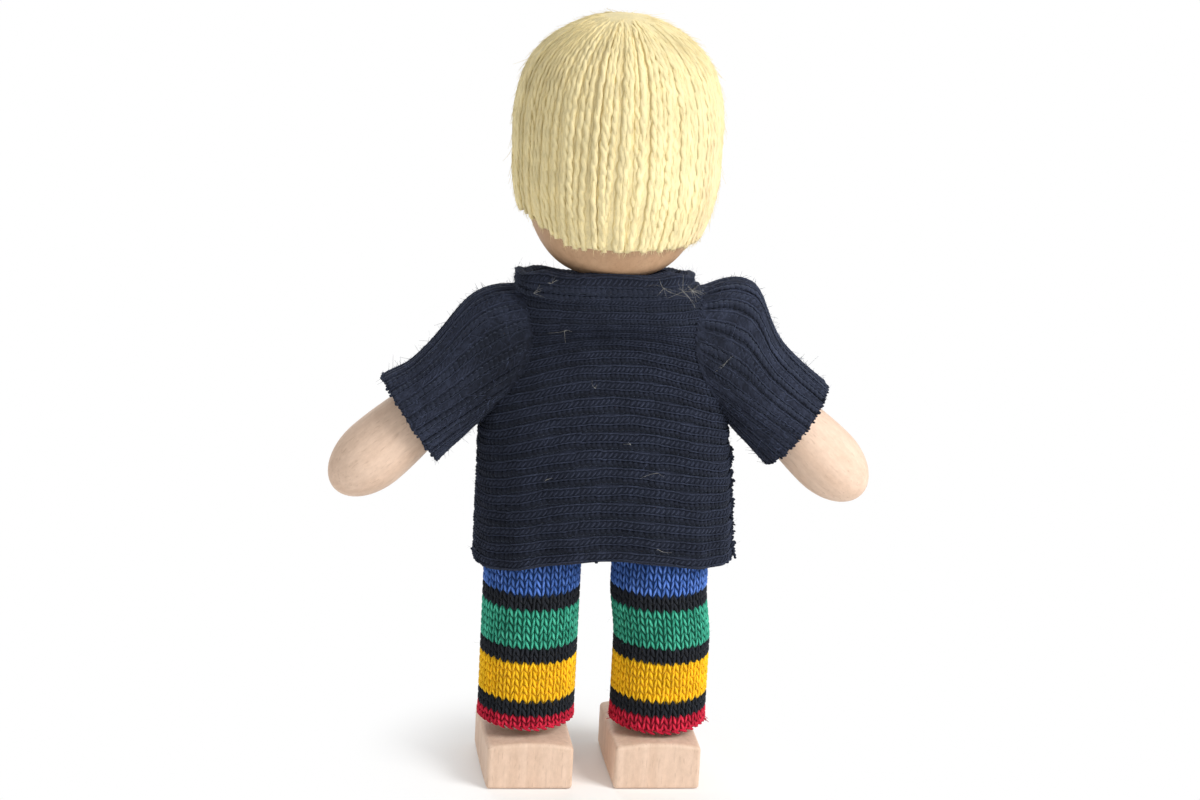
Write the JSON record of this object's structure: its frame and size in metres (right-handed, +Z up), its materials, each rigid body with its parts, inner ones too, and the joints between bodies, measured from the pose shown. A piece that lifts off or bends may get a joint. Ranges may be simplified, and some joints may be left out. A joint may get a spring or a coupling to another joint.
{
  "type": "miniature doll",
  "caption": "Small standing doll with a turned wooden head, yarn wig, wired bendable limbs, wooden hands and feet, rib-knit tunic and striped knit trousers.",
  "frame": {"origin": "on the floor, midway between the feet, under the head's axis", "axes": "+Z up, the doll faces -Y, its left hand points to +X"},
  "size_m": [0.0736, 0.0274, 0.105],
  "materials": {
    "wood": "sanded, unvarnished",
    "head_wood": "sanded, waxed",
    "hidden_wood": "sawn",
    "wig_yarn": "two-ply yarn",
    "tunic_knit": "rib knit",
    "trouser_knit": "striped stocking stitch",
    "elastic": "knitted band",
    "cotton_wrap": "wound cotton",
    "wire": "annealed wire"
  },
  "bodies": {
    "torso": {"torso_block": "hidden_wood", "neck_dowel": "hidden_wood", "tunic_back": "tunic_knit", "tunic_front": "tunic_knit", "neckband": "tunic_knit", "side_seam": "tunic_knit", "trouser_seat": "trouser_knit", "waistband": "elastic"},
    "head": {"head": "head_wood", "wig": "wig_yarn"},
    "left_arm": {"left_hand": "wood", "left_arm_wire": "wire", "left_arm_wrap": "cotton_wrap", "left_sleeve": "tunic_knit"},
    "right_arm": {"right_hand": "wood", "right_arm_wire": "wire", "right_arm_wrap": "cotton_wrap", "right_sleeve": "tunic_knit"},
    "left_leg": {"left_trouser_leg": "trouser_knit", "left_leg_wire": "wire", "left_leg_wrap": "cotton_wrap"},
    "right_leg": {"right_trouser_leg": "trouser_knit", "right_leg_wire": "wire", "right_leg_wrap": "cotton_wrap"},
    "left_foot": {"left_foot": "wood"},
    "right_foot": {"right_foot": "wood"}
  },
  "joints": [
    {"name": "head_turn", "type": "hinge", "parent": "torso", "child": "head", "pos_m": [0, 0, 0.0704], "axis": [0, 0, 1], "continuous": true},
    {"name": "left_arm_raise", "type": "hinge", "parent": "torso", "child": "left_arm", "pos_m": [0.0115, 0, 0.0625], "axis": [0, -1, 0], "range_deg": [-8, 45], "deforming": ["left_sleeve", "left_arm_wire", "left_arm_wrap"]},
    {"name": "right_arm_raise", "type": "hinge", "parent": "torso", "child": "right_arm", "pos_m": [-0.0115, 0, 0.0625], "axis": [0, 1, 0], "range_deg": [-8, 45], "deforming": ["right_sleeve", "right_arm_wire", "right_arm_wrap"]},
    {"name": "left_leg_swing", "type": "hinge", "parent": "torso", "child": "left_leg", "pos_m": [0.0087, 0, 0.025], "axis": [-1, 0, 0], "range_deg": [-30, 90], "deforming": ["left_trouser_leg", "left_leg_wire", "left_leg_wrap"]},
    {"name": "right_leg_swing", "type": "hinge", "parent": "torso", "child": "right_leg", "pos_m": [-0.0087, 0, 0.025], "axis": [-1, 0, 0], "range_deg": [-30, 90], "deforming": ["right_trouser_leg", "right_leg_wire", "right_leg_wrap"]},
    {"name": "left_foot_turn", "type": "hinge", "parent": "left_leg", "child": "left_foot", "pos_m": [0.0087, 0, 0.0066], "axis": [0, 0, 1], "range_deg": [-30, 30]},
    {"name": "right_foot_turn", "type": "hinge", "parent": "right_leg", "child": "right_foot", "pos_m": [-0.0087, 0, 0.0066], "axis": [0, 0, 1], "range_deg": [-30, 30]}
  ]
}
